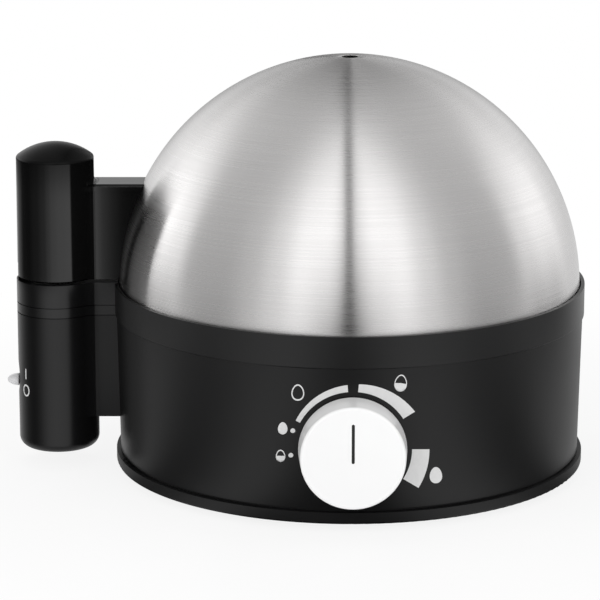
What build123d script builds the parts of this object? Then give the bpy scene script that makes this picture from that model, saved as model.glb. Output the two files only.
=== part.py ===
from build123d import *
from math import cos, radians, sin, sqrt
import os

# Electric egg cooker: round heated base, side column, brushed dome on a hinged arm.
# Millimetres, +Z up, front at -Y, column at -X. The origin is the middle of the footprint.

# Levels, counted from the table
foot_height = 2.5
flange_height = 4.5
shadow_gap = 0.9
housing_height = 59.7
rim_height = 12.3
band_height = 3.8
collar_rise = 0.6
working_gap = 0.8
grip_height = 47.2
cap_edge = 0.8
cap_rise = 5.4
arm_height = 38.0
column_lift = 4.2
web_lift = 18.2

# Dome
dome_r = 90.5
dome_sheet = 0.9
dome_sink = 1.9
dome_skirt = 3.1
dome_clearance = 0.6
edge_gap = 0.3
vent_r = 3.3

# Base, from the rim round the dome down to the flange
rim_lip = 1.4
rim_overhang = 0.6
housing_taper = 1.1
step_inset = 0.9
rim_chamfer = 0.4
wall = 2.4
cover_plate = 3.2
cover_recess = 5.4
spigot_height = 2.5
spigot_wall = 1.8
lip_relief = 1.0
fit_gap = 0.15
groove = 0.4
groove_depth = 0.5

# Column
column_gap = 7.0
column_r = 15.85
column_wall = 2.2
column_round = 4.5
grip_bottom_r = 15.4
grip_top_r = 15.2
grip_wall = 2.6
grip_floor = 8.0
grip_bevel = 0.7
web_half = 9.5
web_blend = 8.0
arm_half = 7.3
arm_blend = 4.2
arm_wall = 2.5

# Arm top
ledge_half = 9.5
ledge_blend = 4.0
ledge_thick = 1.8
plate_half = 6.9
plate_thick = 1.2
plate_proud = 0.55
plate_cove = 1.7
cap_spigot = 5.0
cap_round = 1.4

# Hinge
pin_inset = 2.6
pin_r = 0.9
pin_half = 6.0
pin_running = 0.05
lug_half = 3.2
lug_r = 2.2
lug_right = 3.5
lug_clearance = 0.3
slot_above = 3.2

# Rim seat and heating dish
seat_lap = 4.0
seat_thick = 2.0
rim_spigot = 4.7
seal_thick = 0.8
dish_gap = 3.1
dish_sheet = 1.0
dish_mouth_gap = 0.5
dish_taper = 4.5
dish_floor_drop = 8.2
spreader_r = 60.0
spreader_thick = 2.5
element_ring_r = 45.0
element_r = 3.2
element_arc = 320.0
terminal_drop = 12.0
terminal_r = 1.6
clamp_angles = (90.0, 210.0, 330.0)
clamp_width = 9.0
clamp_sheet = 0.8
clamp_tab = 7.0
clamp_slack = 0.3
thermostat_r = 9.0
thermostat_height = 7.0
thermostat_flange = 12.0
fuse_r = 2.0
fuse_length = 11.0
fuse_x = 25.0
fuse_saddle = 1.2

# Knob and control board
knob_z = 28.9
knob_back_r = 20.2
knob_face_r = 19.5
knob_project = 13.0
knob_back_gap = 0.5
knob_edge = 1.2
knob_shell = 2.2
hub_r = 5.5
shaft_r = 3.0
shaft_running = 0.05
pointer_width = 1.15
pointer_up = 13.2
pointer_down = 1.8
pointer_depth = 0.5
boss_inset = 6.9
boss_r = 9.0
bushing_r = 4.5
pot_r = 12.0
pot_depth = 8.0
board_width = 64.0
board_height = 36.0
board_thick = 1.6
post_x = 25.0
post_r = 3.5
board_screw_r = 1.4
buzzer_r = 8.5
buzzer_depth = 6.5
buzzer_x = -8.0
buzzer_z = 5.0
block_width = 18.0
block_height = 9.0
block_depth = 10.0
block_x = 19.0
block_z = 9.0

# Switch
scoop_z = 33.15
scoop_height = 13.5
scoop_depth = 0.8
nub_z = 30.9
nub_height = 4.3
nub_half = 3.5
nub_out = 4.5
nose_share = 0.95
nub_gap = 0.15
stem_half = 1.5
stem_height = 3.0
stem_length = 7.0
slide_gap = 0.2
slide_travel = 4.0
slide_spare = 0.5
switch_depth = 9.0
switch_half = 5.0
switch_height = 19.0
switch_back = 1.0
shelf_z = 22.0
shelf_thick = 2.0

# Cord gland at the back
gland_z = 18.0
gland_bore_r = 3.5
gland_tube_r = 5.5
gland_flange_r = 8.5
gland_flange = 1.8
gland_inside = 6.0
pad_inset = 0.3
pad_r = 9.0

# Fasteners and feet
cover_screw_angles = (30.0, 150.0, 210.0, 330.0)
cover_screw_inset = 4.0
cover_boss_r = 5.0
cover_boss_height = 26.0
screw_r = 1.75
screw_head_r = 3.4
screw_head = 1.7
screw_length = 16.0
hole_gap = 0.25
foot_angles = (55.0, 125.0, 235.0, 305.0)
foot_inset = 14.5
foot_r = 8.0
foot_edge = 0.8
plate_inner_gap = 1.6
dome_screw_angles = (9.0, 18.0)
dome_screw_r = 1.6
dome_screw_head_r = 3.0
dome_screw_head = 1.6
dome_screw_reach = 8.0
dome_boss_r = 3.8
backing_sheet = 1.2
backing_half = 6.0
backing_low = 7.0
backing_high = 33.0

# Egg tray
tray_gap = 4.0
tray_sheet = 1.6
tray_stand = 19.2
egg_hole_r = 17.0
egg_hole_margin = 5.0
egg_count = 6
tray_leg_wall = 1.8
tray_leg_width = 18.0
tray_leg_count = 4
grip_inset = 8.0
grip_half = 13.0
grip_bar = 3.0
grip_rise = 12.0
grip_round = 2.5
tray_edge = 0.6

# Cutting shapes run past the faces that they cut by this much
over = 1.0

# Derived radii
dome_inner_r = dome_r - dome_sheet
rim_inner_r = dome_r + dome_clearance
rim_r = rim_inner_r + rim_lip
flange_r = rim_r
shoulder_r = rim_r - rim_overhang
foot_spread_r = shoulder_r - housing_taper
cover_step_r = foot_spread_r - step_inset
dish_flange_r = rim_inner_r - dish_gap
seat_inner_r = dish_flange_r - seat_lap
dish_mouth_r = seat_inner_r - dish_mouth_gap
dish_floor_r = dish_mouth_r - dish_taper
tray_r = dish_floor_r - dish_sheet - tray_gap
egg_ring_r = tray_r - egg_hole_r - egg_hole_margin
cover_screw_ring = foot_spread_r - wall - cover_screw_inset
foot_ring = flange_r - foot_inset

# Derived levels and places
flange_top = foot_height + flange_height
housing_bottom = flange_top + shadow_gap
housing_top = foot_height + housing_height
rim_top = housing_top + rim_height
collar_top = rim_top + collar_rise
band_top = housing_top + band_height
grip_bottom = collar_top + working_gap
grip_top = grip_bottom + grip_height
arm_top = grip_bottom + arm_height
dome_z = rim_top - dome_sink
dome_bottom = dome_z - dome_skirt
seat_top = dome_bottom - edge_gap
seat_bottom = seat_top - seat_thick
dish_rim = seat_top + seal_thick
dish_floor = dish_rim - dish_floor_drop
spreader_bottom = dish_floor - spreader_thick
element_z = spreader_bottom - element_r
column_x = flange_r + column_gap + column_r
axis_x = -column_x
column_left = axis_x - column_r
joint_x = -(flange_r + column_gap / 2)
web_end = -(foot_spread_r - wall / 2)
web_mouth = -(foot_spread_r - 2 * wall)
ledge_top = arm_top - plate_proud
ledge_low = ledge_top - ledge_thick
plate_low = arm_top - plate_thick
pin_x = axis_x - grip_bottom_r + pin_inset
pin_z = grip_bottom + pin_inset
knob_axis_z = foot_height + knob_z
knob_back_y = -(shoulder_r + knob_back_gap)
panel_r = foot_spread_r + (shoulder_r - foot_spread_r) * (knob_axis_z - housing_bottom) / (
    housing_top - housing_bottom
)
knob_face_y = -(panel_r + knob_project)
boss_face = shoulder_r - boss_inset
pot_back = -(boss_face - pot_depth)
board_back = pot_back + board_thick
nub_mid = foot_height + nub_z
scoop_r = (scoop_height**2 / 4 + scoop_depth**2) / (2 * scoop_depth)
plate_bottom = housing_bottom - cover_plate
tray_z = dish_floor + dish_sheet + tray_stand
tray_top = tray_z + tray_sheet
grip_x = tray_r - grip_inset
pad_out = shoulder_r - pad_inset
gland_face = pad_out + gland_flange
shift = Location(
    ((column_x + column_r + nub_out - flange_r) / 2, (-knob_face_y - gland_face) / 2, 0)
)


def disc(r, low, high, x=0, y=0):
    return Pos(x, y, (low + high) / 2) * Cylinder(r, high - low)


def cone(r_low, r_high, low, high, x=0, y=0):
    return Pos(x, y, (low + high) / 2) * Cone(r_low, r_high, high - low)


def ring(r_out, r_in, low, high, x=0, y=0):
    return disc(r_out, low, high, x, y) - disc(r_in, low - over, high + over, x, y)


def block(x0, x1, y0, y1, z0, z1):
    return Pos((x0 + x1) / 2, (y0 + y1) / 2, (z0 + z1) / 2) * Box(x1 - x0, y1 - y0, z1 - z0)


def rod_y(r, y0, y1, x=0, z=0):
    """Round bar along Y."""
    return Pos(x, (y0 + y1) / 2, z) * Rot(90, 0, 0) * Cylinder(r, y1 - y0)


def around(angles, radius):
    """Places on a circle about the base's axis."""
    return [Pos(radius * cos(radians(a)), radius * sin(radians(a)), 0) for a in angles]


def ball(r):
    return Pos(0, 0, dome_z) * Sphere(r)


def web_outline(r, half, blend, x_end):
    """Plan of the column with the web that joins it, blended by concave corners."""
    plan = Pos(axis_x, 0) * Circle(r)
    plan += Pos((axis_x + x_end) / 2, 0) * Rectangle(x_end - axis_x, 2 * half)
    inner = [v for v in plan.vertices() if axis_x < v.X < x_end - over]
    return fillet(inner, blend)


def web_solid(inset, low, high, x_end):
    """Column with its web, or what hollows them out where there is an inset."""
    plan = web_outline(column_r - inset, web_half - inset, web_blend + inset, x_end)
    return Pos(0, 0, low) * extrude(plan, high - low)


def web_stub(inset, low, high, x_end):
    """Straight stretch of the web, from its joint into the round base."""
    half = web_half - inset
    return block(joint_x - inset, x_end, -half, half, low, high)


def edge_groove(low, high):
    """Thin line cut round the column and web, outside the round base."""
    full = web_solid(0, low, high, web_end)
    core = web_solid(groove_depth, low - over, high + over, web_mouth)
    return full - core - disc(flange_r, low - over, high + over)


def dome_axis(angle):
    """Frame on the dome's centre whose Z points out at the arm, angle above level."""
    return Pos(0, 0, dome_z) * Rot(0, angle - 90, 0)


def make_base_housing():
    inner_low = foot_spread_r - wall
    inner_high = shoulder_r - wall
    body = cone(foot_spread_r, shoulder_r, housing_bottom, housing_top)
    body += web_stub(0, foot_height + web_lift, housing_top, web_end)
    body -= cone(inner_low, inner_high, housing_bottom, housing_top)
    body -= web_stub(column_wall, foot_height + web_lift + wall, housing_top, web_mouth)
    body -= edge_groove(housing_top - groove, housing_top)
    # bosses for the cover screws, joined to the wall
    hull = cone(foot_spread_r, shoulder_r, housing_bottom, housing_top)
    for place in around(cover_screw_angles, cover_screw_ring):
        body += place * disc(cover_boss_r, housing_bottom, housing_bottom + cover_boss_height) & hull
    for place in around(cover_screw_angles, cover_screw_ring):
        body -= place * disc(screw_r, housing_bottom - over, plate_bottom + screw_length)
    # boss for the knob's bushing and posts for the board
    body += rod_y(boss_r, -flange_r, -boss_face, 0, knob_axis_z) & hull
    body -= rod_y(bushing_r, -flange_r, -boss_face + over, 0, knob_axis_z)
    for side in (-1, 1):
        body += rod_y(post_r, -flange_r, pot_back, side * post_x, knob_axis_z) & hull
        body -= rod_y(board_screw_r, -boss_face, pot_back + over, side * post_x, knob_axis_z)
    # flat pad for the cord gland
    body += rod_y(pad_r, inner_low - over, pad_out, 0, foot_height + gland_z)
    body -= rod_y(gland_tube_r, inner_low - wall, pad_out + over, 0, foot_height + gland_z)
    return body


def make_column_housing():
    """Lower half of the grip column, with its share of the web."""
    body = disc(column_r, foot_height + column_lift, housing_top, axis_x)
    body = fillet(body.edges().sort_by(Axis.Z)[0], column_round)
    body += web_solid(0, foot_height + web_lift, housing_top, joint_x)
    hollow_low = foot_height + column_lift + wall
    body -= disc(column_r - column_wall, hollow_low, housing_top, axis_x)
    web_hollow_low = foot_height + web_lift + wall
    body -= web_solid(column_wall, web_hollow_low, housing_top, joint_x + over)
    body -= edge_groove(housing_top - groove, housing_top)
    # shelf for the switch
    body += disc(column_r - column_wall, shelf_z, shelf_z + shelf_thick, axis_x) & block(
        column_left, axis_x, -column_r, column_r, shelf_z, shelf_z + shelf_thick
    )
    # scoop and slot of the switch
    scoop = rod_y(
        scoop_r, -column_r, column_r, column_left - scoop_r + scoop_depth, foot_height + scoop_z
    )
    body -= scoop
    half = stem_height / 2 + slide_spare
    body -= block(
        column_left - over, axis_x - column_r / 2, -stem_half - slide_gap, stem_half + slide_gap,
        nub_mid - half, nub_mid + half + slide_travel,
    )
    return body


def make_rim_ring():
    body = disc(rim_r, housing_top, rim_top)
    low_edge = body.edges().sort_by(Axis.Z)[0]
    body = chamfer(low_edge, rim_chamfer)
    body += web_stub(0, housing_top, collar_top, web_end)
    body -= disc(rim_inner_r, seat_top, collar_top + over)
    spigot_r = shoulder_r - wall - fit_gap
    body -= disc(spigot_r - spigot_wall, housing_top - over, seat_bottom)
    body -= disc(seat_inner_r, seat_bottom - over, seat_top + over)
    body -= web_stub(column_wall, housing_top - over, collar_top - column_wall, -rim_r)
    lip_low = housing_top - rim_spigot
    body += ring(spigot_r - lip_relief, spigot_r - spigot_wall, lip_low, housing_top)
    return body - edge_groove(band_top - groove / 2, band_top + groove / 2)


def make_column_collar():
    """Collar that closes the lower column, with the hinge lug on it."""
    body = web_solid(0, housing_top, collar_top, joint_x)
    body -= web_solid(column_wall, housing_top - over, collar_top - column_wall, joint_x + over)
    body -= edge_groove(band_top - groove / 2, band_top + groove / 2)
    foot = block(
        pin_x - lug_r, pin_x + lug_right, -lug_half, lug_half, collar_top - column_wall, collar_top
    )
    # the lug's neck is rounded about the pin
    neck = block(pin_x - lug_r, pin_x + lug_r, -lug_half, lug_half, collar_top, pin_z)
    body += foot + neck + rod_y(lug_r, -lug_half, lug_half, pin_x, pin_z)
    return body - rod_y(pin_r, -lug_half - over, lug_half + over, pin_x, pin_z)


def make_bottom_cover():
    body = disc(flange_r, foot_height, flange_top)
    body = fillet(body.edges().sort_by(Axis.Z)[0], foot_edge)
    body += disc(cover_step_r, flange_top, housing_bottom)
    lip_r = foot_spread_r - wall - fit_gap
    body += ring(lip_r, lip_r - spigot_wall, housing_bottom, housing_bottom + spigot_height)
    body -= disc(flange_r - wall - plate_inner_gap, foot_height - over, plate_bottom)
    body -= disc(lip_r - spigot_wall - cover_recess, plate_bottom + wall, housing_bottom + over)
    for place in around(cover_screw_angles, cover_screw_ring):
        body -= place * disc(screw_r + hole_gap, 0, housing_bottom + spigot_height + over)
        body -= place * disc(cover_boss_r + hole_gap, housing_bottom, rim_top)
    return body


def make_cover_screws():
    shank_top = plate_bottom + screw_length
    screw = disc(screw_head_r, plate_bottom - screw_head, plate_bottom)
    screw += disc(screw_r, plate_bottom, shank_top)
    screw -= block(-flange_r, flange_r, -groove, groove, 0, plate_bottom - screw_head / 2)
    return [place * screw for place in around(cover_screw_angles, cover_screw_ring)]


def make_rubber_feet():
    foot = disc(foot_r, 0, plate_bottom)
    foot = fillet(foot.edges().sort_by(Axis.Z)[0], foot_edge)
    return [place * foot for place in around(foot_angles, foot_ring)]


def make_dish_seal():
    return ring(dish_flange_r, seat_inner_r, seat_top, dish_rim)


def make_heating_dish():
    body = disc(dish_flange_r, dish_rim, dish_rim + dish_sheet)
    body += cone(dish_floor_r, dish_mouth_r, dish_floor, dish_rim)
    body -= cone(
        dish_floor_r - dish_sheet, dish_mouth_r - dish_sheet, dish_floor + dish_sheet,
        dish_rim + dish_sheet,
    )
    return body


def make_heat_spreader():
    return disc(spreader_r, spreader_bottom, dish_floor)


def make_heating_element():
    start = (360 - element_arc) / 2
    loop = Pos(0, 0, element_z) * Rot(0, 0, start) * Torus(
        element_ring_r, element_r, major_angle=element_arc
    )
    for side in (-1, 1):
        place = Rot(0, 0, side * start) * Pos(element_ring_r, 0, 0)
        loop += place * disc(terminal_r, element_z - terminal_drop, element_z)
    return loop


def make_element_clamps():
    """Three straps that press the ring against the spreader."""
    inner = element_ring_r - element_r - clamp_slack
    outer = element_ring_r + element_r
    low = element_z - element_r
    strap = block(inner, outer, -clamp_width / 2, clamp_width / 2, low - clamp_sheet, low)
    for a, b in ((inner - clamp_sheet, inner), (outer, outer + clamp_sheet)):
        strap += block(a, b, -clamp_width / 2, clamp_width / 2, low - clamp_sheet, spreader_bottom)
    for a, b in ((inner - clamp_tab, inner), (outer, outer + clamp_tab)):
        strap += block(
            a, b, -clamp_width / 2, clamp_width / 2, spreader_bottom - clamp_sheet, spreader_bottom
        )
    return [Rot(0, 0, a) * strap for a in clamp_angles]


def make_thermostat():
    low = spreader_bottom - thermostat_height
    body = disc(thermostat_r, low, spreader_bottom)
    body += block(
        -thermostat_flange, thermostat_flange, -thermostat_r / 2, thermostat_r / 2,
        spreader_bottom - clamp_sheet, spreader_bottom,
    )
    for side in (-1, 1):
        body += block(
            side * terminal_r * 2 - clamp_sheet / 2, side * terminal_r * 2 + clamp_sheet / 2,
            -terminal_r * 2, terminal_r * 2, low - thermostat_height, low,
        )
    return body


def make_thermal_fuse():
    mid = spreader_bottom - fuse_saddle - fuse_r
    body = rod_y(fuse_r, -fuse_length / 2, fuse_length / 2, fuse_x, mid)
    return body + block(
        fuse_x - fuse_r, fuse_x + fuse_r, -fuse_length / 4, fuse_length / 4, mid, spreader_bottom
    )


def make_potentiometer():
    body = rod_y(pot_r, -boss_face, pot_back, 0, knob_axis_z)
    body += rod_y(bushing_r, -panel_r, -boss_face, 0, knob_axis_z)
    return body - rod_y(
        shaft_r + shaft_running, -panel_r - over, -boss_face + pot_depth / 2, 0, knob_axis_z
    )


def make_control_board():
    body = block(
        -board_width / 2, board_width / 2, pot_back, board_back,
        knob_axis_z - board_height / 2, knob_axis_z + board_height / 2,
    )
    for side in (-1, 1):
        body -= rod_y(
            board_screw_r + hole_gap, pot_back - over, board_back + over, side * post_x, knob_axis_z
        )
    return body


def make_board_screws():
    screws = []
    for side in (-1, 1):
        screw = rod_y(board_screw_r, -boss_face, board_back, side * post_x, knob_axis_z)
        screw += rod_y(
            2 * board_screw_r, board_back, board_back + board_screw_r, side * post_x, knob_axis_z
        )
        screws.append(screw)
    return screws


def make_buzzer():
    z = knob_axis_z + buzzer_z
    body = rod_y(buzzer_r, board_back, board_back + buzzer_depth, buzzer_x, z)
    return body - rod_y(
        buzzer_r / 6, board_back + buzzer_depth / 2, board_back + buzzer_depth + over, buzzer_x, z
    )


def make_terminal_block():
    low = knob_axis_z - block_z - block_height / 2
    body = block(
        block_x - block_width, block_x, board_back, board_back + block_depth, low, low + block_height
    )
    pitch = block_width / 3
    for n in range(3):
        x = block_x - block_width + pitch * (n + 0.5)
        body -= block(
            x - pitch / 3, x + pitch / 3, board_back + block_depth / 2, board_back + block_depth + over,
            low + wall / 2, low + block_height - wall / 2,
        )
    return body


def make_switch_body():
    front = axis_x - switch_back - switch_depth
    low = shelf_z + shelf_thick
    body = block(front, axis_x - switch_back, -switch_half, switch_half, low, low + switch_height)
    half = stem_height / 2 + slide_spare
    return body - block(
        front - over, front + switch_depth / 2, -stem_half - slide_gap, stem_half + slide_gap,
        nub_mid - half, nub_mid + half + slide_travel,
    )


def make_switch_slider():
    left = column_left - nub_out
    inner = column_left + nub_gap
    # rounded nose as a half ellipse, stretched along X
    nose_length = nub_out * nose_share
    nose = Pos(left + nose_length, 0, nub_mid) * scale(
        Rot(90, 0, 0) * Cylinder(nub_height / 2, 2 * nub_half),
        by=(2 * nose_length / nub_height, 1, 1),
    )
    body = nose & block(left - over, left + nose_length, -nub_half, nub_half, 0, rim_top)
    body += block(
        left + nose_length, inner, -nub_half, nub_half, nub_mid - nub_height / 2,
        nub_mid + nub_height / 2,
    )
    body += block(
        inner, inner + stem_length, -stem_half, stem_half, nub_mid - stem_height / 2,
        nub_mid + stem_height / 2,
    )
    return body


def make_cord_gland():
    z = foot_height + gland_z
    inner = foot_spread_r - gland_inside
    body = rod_y(gland_flange_r, pad_out, gland_face, 0, z)
    body += rod_y(gland_tube_r, inner, pad_out, 0, z)
    return body - rod_y(gland_bore_r, inner - over, gland_face + over, 0, z)


def make_hinge_pin():
    return rod_y(pin_r, -pin_half, pin_half, pin_x, pin_z)


def blend_start(r, half, blend):
    """How far from the column's axis the web's blend leaves the round face."""
    centre = sqrt((r + blend) ** 2 - (half + blend) ** 2)
    return centre * r / (r + blend)


def arm_slab(half, blend, low, high):
    """Slab of the arm, blended into the grip, out to the dome."""
    plan = web_outline(grip_top_r, half, blend, -dome_r / 2)
    slab = Pos(0, 0, low) * extrude(plan, high - low)
    start = axis_x + blend_start(grip_top_r, half, blend)
    slab &= block(start, 0, -column_r, column_r, low, high)
    return slab - ball(dome_r)


def arm_plate(gap, low, high):
    """Top plate's outline, grown by the gap at its sides, between the cove and the dome."""
    half = plate_half + gap
    body = block(axis_x, -dome_r / 2, -half, half, low, high)
    cove_edge = grip_top_r + plate_cove + fit_gap - gap
    return body - disc(cove_edge, low - over, high + over, axis_x) - ball(dome_r)


def make_lid_arm():
    grip = cone(grip_bottom_r, grip_top_r, grip_bottom, grip_top, axis_x)
    grip = chamfer(grip.edges().sort_by(Axis.Z)[0], grip_bevel)
    side = arm_slab(arm_half, arm_blend, grip_bottom, ledge_low)
    side += arm_slab(ledge_half, ledge_blend, ledge_low, ledge_top)
    # cove where the plate's level meets the grip
    cove_top = arm_top + plate_cove
    cove = disc(grip_top_r + plate_cove, ledge_low, cove_top, axis_x)
    cove &= block(axis_x, axis_x + column_x / 2, -plate_half, plate_half, ledge_low, cove_top)
    side += cove - Pos(axis_x, 0, cove_top) * Torus(grip_top_r + plate_cove, plate_cove)
    side -= arm_plate(fit_gap, plate_low, arm_top + over)
    pocket = block(
        axis_x + grip_top_r + arm_wall, -dome_r / 2, -arm_half + arm_wall, arm_half - arm_wall,
        grip_bottom + arm_wall, plate_low,
    )
    pocket -= ball(dome_r + arm_wall)
    for angle in dome_screw_angles:
        pocket -= dome_axis(angle) * Pos(0, 0, dome_r) * Cylinder(dome_boss_r, 3 * dome_screw_reach)
    body = grip + side - pocket
    body -= disc(grip_top_r - grip_wall, grip_bottom + grip_floor, grip_top + over, axis_x)
    # slot that the fixed lug stands in, open to the outer side
    body -= block(
        axis_x - column_r - over, pin_x + lug_right + lug_clearance, -lug_half - lug_clearance,
        lug_half + lug_clearance, grip_bottom - over, pin_z + slot_above,
    )
    body -= rod_y(pin_r + pin_running, -pin_half - fit_gap, pin_half + fit_gap, pin_x, pin_z)
    for angle in dome_screw_angles:
        body -= dome_axis(angle) * Pos(0, 0, dome_r) * Cylinder(dome_screw_r, 2 * dome_screw_reach)
    return body


def make_arm_cover():
    return arm_plate(0, plate_low, arm_top)


def make_column_cap():
    rise = cap_rise
    lens_r = (grip_top_r**2 + rise**2) / (2 * rise)
    low = grip_top + cap_edge
    lens = Pos(axis_x, 0, low + rise - lens_r) * Sphere(lens_r)
    body = lens & disc(grip_top_r + over, low, low + rise + over, axis_x)
    body += disc(grip_top_r, grip_top, low, axis_x)
    shoulder = body.edges().filter_by_position(Axis.Z, low - fit_gap, low + fit_gap)
    body = fillet(shoulder, cap_round)
    return body + disc(grip_top_r - grip_wall - fit_gap, grip_top - cap_spigot, grip_top, axis_x)


def make_lid_dome():
    body = ball(dome_r) & disc(dome_r + over, dome_z, dome_z + dome_r + over)
    body += disc(dome_r, dome_bottom, dome_z)
    hollow = ball(dome_inner_r) & disc(dome_r, dome_z, dome_z + dome_r)
    body -= hollow + disc(dome_inner_r, dome_bottom - over, dome_z)
    body -= disc(vent_r, dome_z, dome_z + dome_r + over)
    for angle in dome_screw_angles:
        body -= dome_axis(angle) * Pos(0, 0, dome_r) * Cylinder(dome_screw_r, 2 * dome_screw_reach)
    return body


def make_backing_plate():
    """Curved strip inside the dome that the arm's screws pull against."""
    body = ball(dome_inner_r) - ball(dome_inner_r - backing_sheet)
    body &= block(
        -dome_r, -dome_r / 2, -backing_half, backing_half, dome_z + backing_low,
        dome_z + backing_high,
    )
    for angle in dome_screw_angles:
        body -= dome_axis(angle) * Pos(0, 0, dome_r) * Cylinder(dome_screw_r, 2 * dome_screw_reach)
    return body


def make_dome_screws():
    seat = dome_inner_r - backing_sheet
    reach = dome_r + dome_screw_reach
    head = Pos(0, 0, seat - dome_screw_head / 2) * Cylinder(dome_screw_head_r, dome_screw_head)
    start = seat - dome_screw_head / 2
    shank = Pos(0, 0, (start + reach) / 2) * Cylinder(dome_screw_r, reach - start)
    # the head's seat follows the backing plate's curve
    screw = (head & Rot(90, 0, 0) * Sphere(seat)) + shank
    return [dome_axis(angle) * screw for angle in dome_screw_angles]


def knob_disc(r, y_out, y_in):
    return rod_y(r, y_out, y_in, 0, knob_axis_z)


def make_knob():
    depth = knob_back_y - knob_face_y
    body = Pos(0, knob_face_y + depth / 2, knob_axis_z) * Rot(90, 0, 0) * Cone(
        knob_back_r, knob_face_r, depth
    )
    body = fillet(body.edges().sort_by(Axis.Y)[0], knob_edge)
    body -= knob_disc(knob_face_r - knob_shell, knob_face_y + knob_shell, knob_back_y + over)
    body += knob_disc(hub_r, knob_face_y + knob_shell, knob_back_y)
    body -= knob_disc(shaft_r, knob_face_y + knob_shell, knob_back_y + over)
    return body - pointer_bar()


def pointer_bar():
    """Inlaid bar with round ends, from just below the knob's middle to near its edge."""
    end = pointer_width / 2
    low = knob_axis_z - pointer_down + end
    high = knob_axis_z + pointer_up - end
    bar = block(-end, end, knob_face_y, knob_face_y + pointer_depth, low, high)
    for z in (low, high):
        bar += rod_y(end, knob_face_y, knob_face_y + pointer_depth, 0, z)
    return bar


def make_knob_shaft():
    return knob_disc(shaft_r, knob_face_y + knob_shell, -boss_face + pot_depth / 4)


def make_egg_tray():
    body = disc(tray_r, tray_z, tray_top)
    body = fillet(body.edges().sort_by(Axis.Z)[-1], tray_edge)
    body -= disc(egg_hole_r, tray_z - over, tray_top + over)
    angles = [360 / egg_count * (n + 0.5) for n in range(egg_count)]
    for place in around(angles, egg_ring_r):
        body -= place * disc(egg_hole_r, tray_z - over, tray_top + over)
    return body


def make_tray_legs():
    """Curved legs that stand on the dish's floor."""
    skirt = ring(tray_r, tray_r - tray_leg_wall, dish_floor + dish_sheet, tray_z)
    return [
        skirt & (Rot(0, 0, 360 / tray_leg_count * (n + 0.5)) * block(
            tray_r / 2, tray_r, -tray_leg_width / 2, tray_leg_width / 2, 0, tray_z
        ))
        for n in range(tray_leg_count)
    ]


def make_tray_grips():
    """Two upright arches that the tray is lifted by."""
    arches = []
    for side in (-1, 1):
        x0 = side * grip_x - grip_bar / 2
        x1 = side * grip_x + grip_bar / 2
        arch = block(x0, x1, -grip_half, grip_half, tray_top, tray_top + grip_rise)
        upper = arch.edges().filter_by(Axis.X).sort_by(Axis.Z)[-2:]
        arch = fillet(upper, grip_round)
        arch -= block(
            x0 - over, x1 + over, -grip_half + grip_bar, grip_half - grip_bar, tray_top,
            tray_top + grip_rise - grip_bar,
        )
        arches.append(arch)
    return arches


def save(name, shape):
    solids = shape if isinstance(shape, list) else shape.solids()
    placed = [shift * s for piece in solids for s in piece.solids()]
    export_step(placed[0] if len(placed) == 1 else Compound(children=placed), f"parts/{name}.step")


nodes = {
    "base_housing": make_base_housing,
    "column_housing": make_column_housing,
    "rim_ring": make_rim_ring,
    "column_collar": make_column_collar,
    "bottom_cover": make_bottom_cover,
    "cover_screws": make_cover_screws,
    "rubber_feet": make_rubber_feet,
    "dish_seal": make_dish_seal,
    "heating_dish": make_heating_dish,
    "heat_spreader": make_heat_spreader,
    "heating_element": make_heating_element,
    "element_clamps": make_element_clamps,
    "thermostat": make_thermostat,
    "thermal_fuse": make_thermal_fuse,
    "potentiometer": make_potentiometer,
    "control_board": make_control_board,
    "board_screws": make_board_screws,
    "buzzer": make_buzzer,
    "terminal_block": make_terminal_block,
    "switch_body": make_switch_body,
    "switch_slider": make_switch_slider,
    "cord_gland": make_cord_gland,
    "hinge_pin": make_hinge_pin,
    "lid_arm": make_lid_arm,
    "arm_cover": make_arm_cover,
    "column_cap": make_column_cap,
    "lid_dome": make_lid_dome,
    "backing_plate": make_backing_plate,
    "dome_screws": make_dome_screws,
    "knob": make_knob,
    "knob_pointer": pointer_bar,
    "knob_shaft": make_knob_shaft,
    "egg_tray": make_egg_tray,
    "tray_legs": make_tray_legs,
    "tray_grips": make_tray_grips,
}

os.makedirs("parts", exist_ok=True)
for node, make in nodes.items():
    save(node, make())
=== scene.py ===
import math

import bmesh
import bpy
from bpy.props import (
    FloatProperty,
    FloatVectorProperty,
    IntProperty,
    PointerProperty,
)
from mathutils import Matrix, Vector


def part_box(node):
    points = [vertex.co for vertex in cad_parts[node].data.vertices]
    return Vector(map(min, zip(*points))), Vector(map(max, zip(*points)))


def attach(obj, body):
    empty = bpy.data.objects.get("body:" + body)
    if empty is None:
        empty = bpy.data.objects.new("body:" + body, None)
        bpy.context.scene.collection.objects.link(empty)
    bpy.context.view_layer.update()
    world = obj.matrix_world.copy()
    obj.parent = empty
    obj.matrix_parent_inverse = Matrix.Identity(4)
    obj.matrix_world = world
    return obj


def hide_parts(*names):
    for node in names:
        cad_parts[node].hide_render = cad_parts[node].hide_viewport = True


bl_info = {
    "name": "Egg Cooker Looks",
    "version": (1, 0, 0),
    "blender": (4, 5, 0),
    "location": "View3D > Sidebar > Egg Cooker",
    "description": "Dresses the egg cooker with its dome, dial print and finishes",
    "category": "Object",
}

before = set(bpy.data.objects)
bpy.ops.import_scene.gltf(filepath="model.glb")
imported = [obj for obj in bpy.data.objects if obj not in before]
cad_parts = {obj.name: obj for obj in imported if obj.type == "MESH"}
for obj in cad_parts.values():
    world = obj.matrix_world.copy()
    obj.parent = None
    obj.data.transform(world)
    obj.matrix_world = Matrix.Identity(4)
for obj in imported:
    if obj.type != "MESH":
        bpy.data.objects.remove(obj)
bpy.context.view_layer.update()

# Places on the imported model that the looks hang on
dome_low, dome_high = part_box("lid_dome")
knob_low, knob_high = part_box("knob")
axis_x = (dome_low.x + dome_high.x) / 2
axis_y = (dome_low.y + dome_high.y) / 2
dial_z = (knob_low.z + knob_high.z) / 2


# Settings


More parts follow.
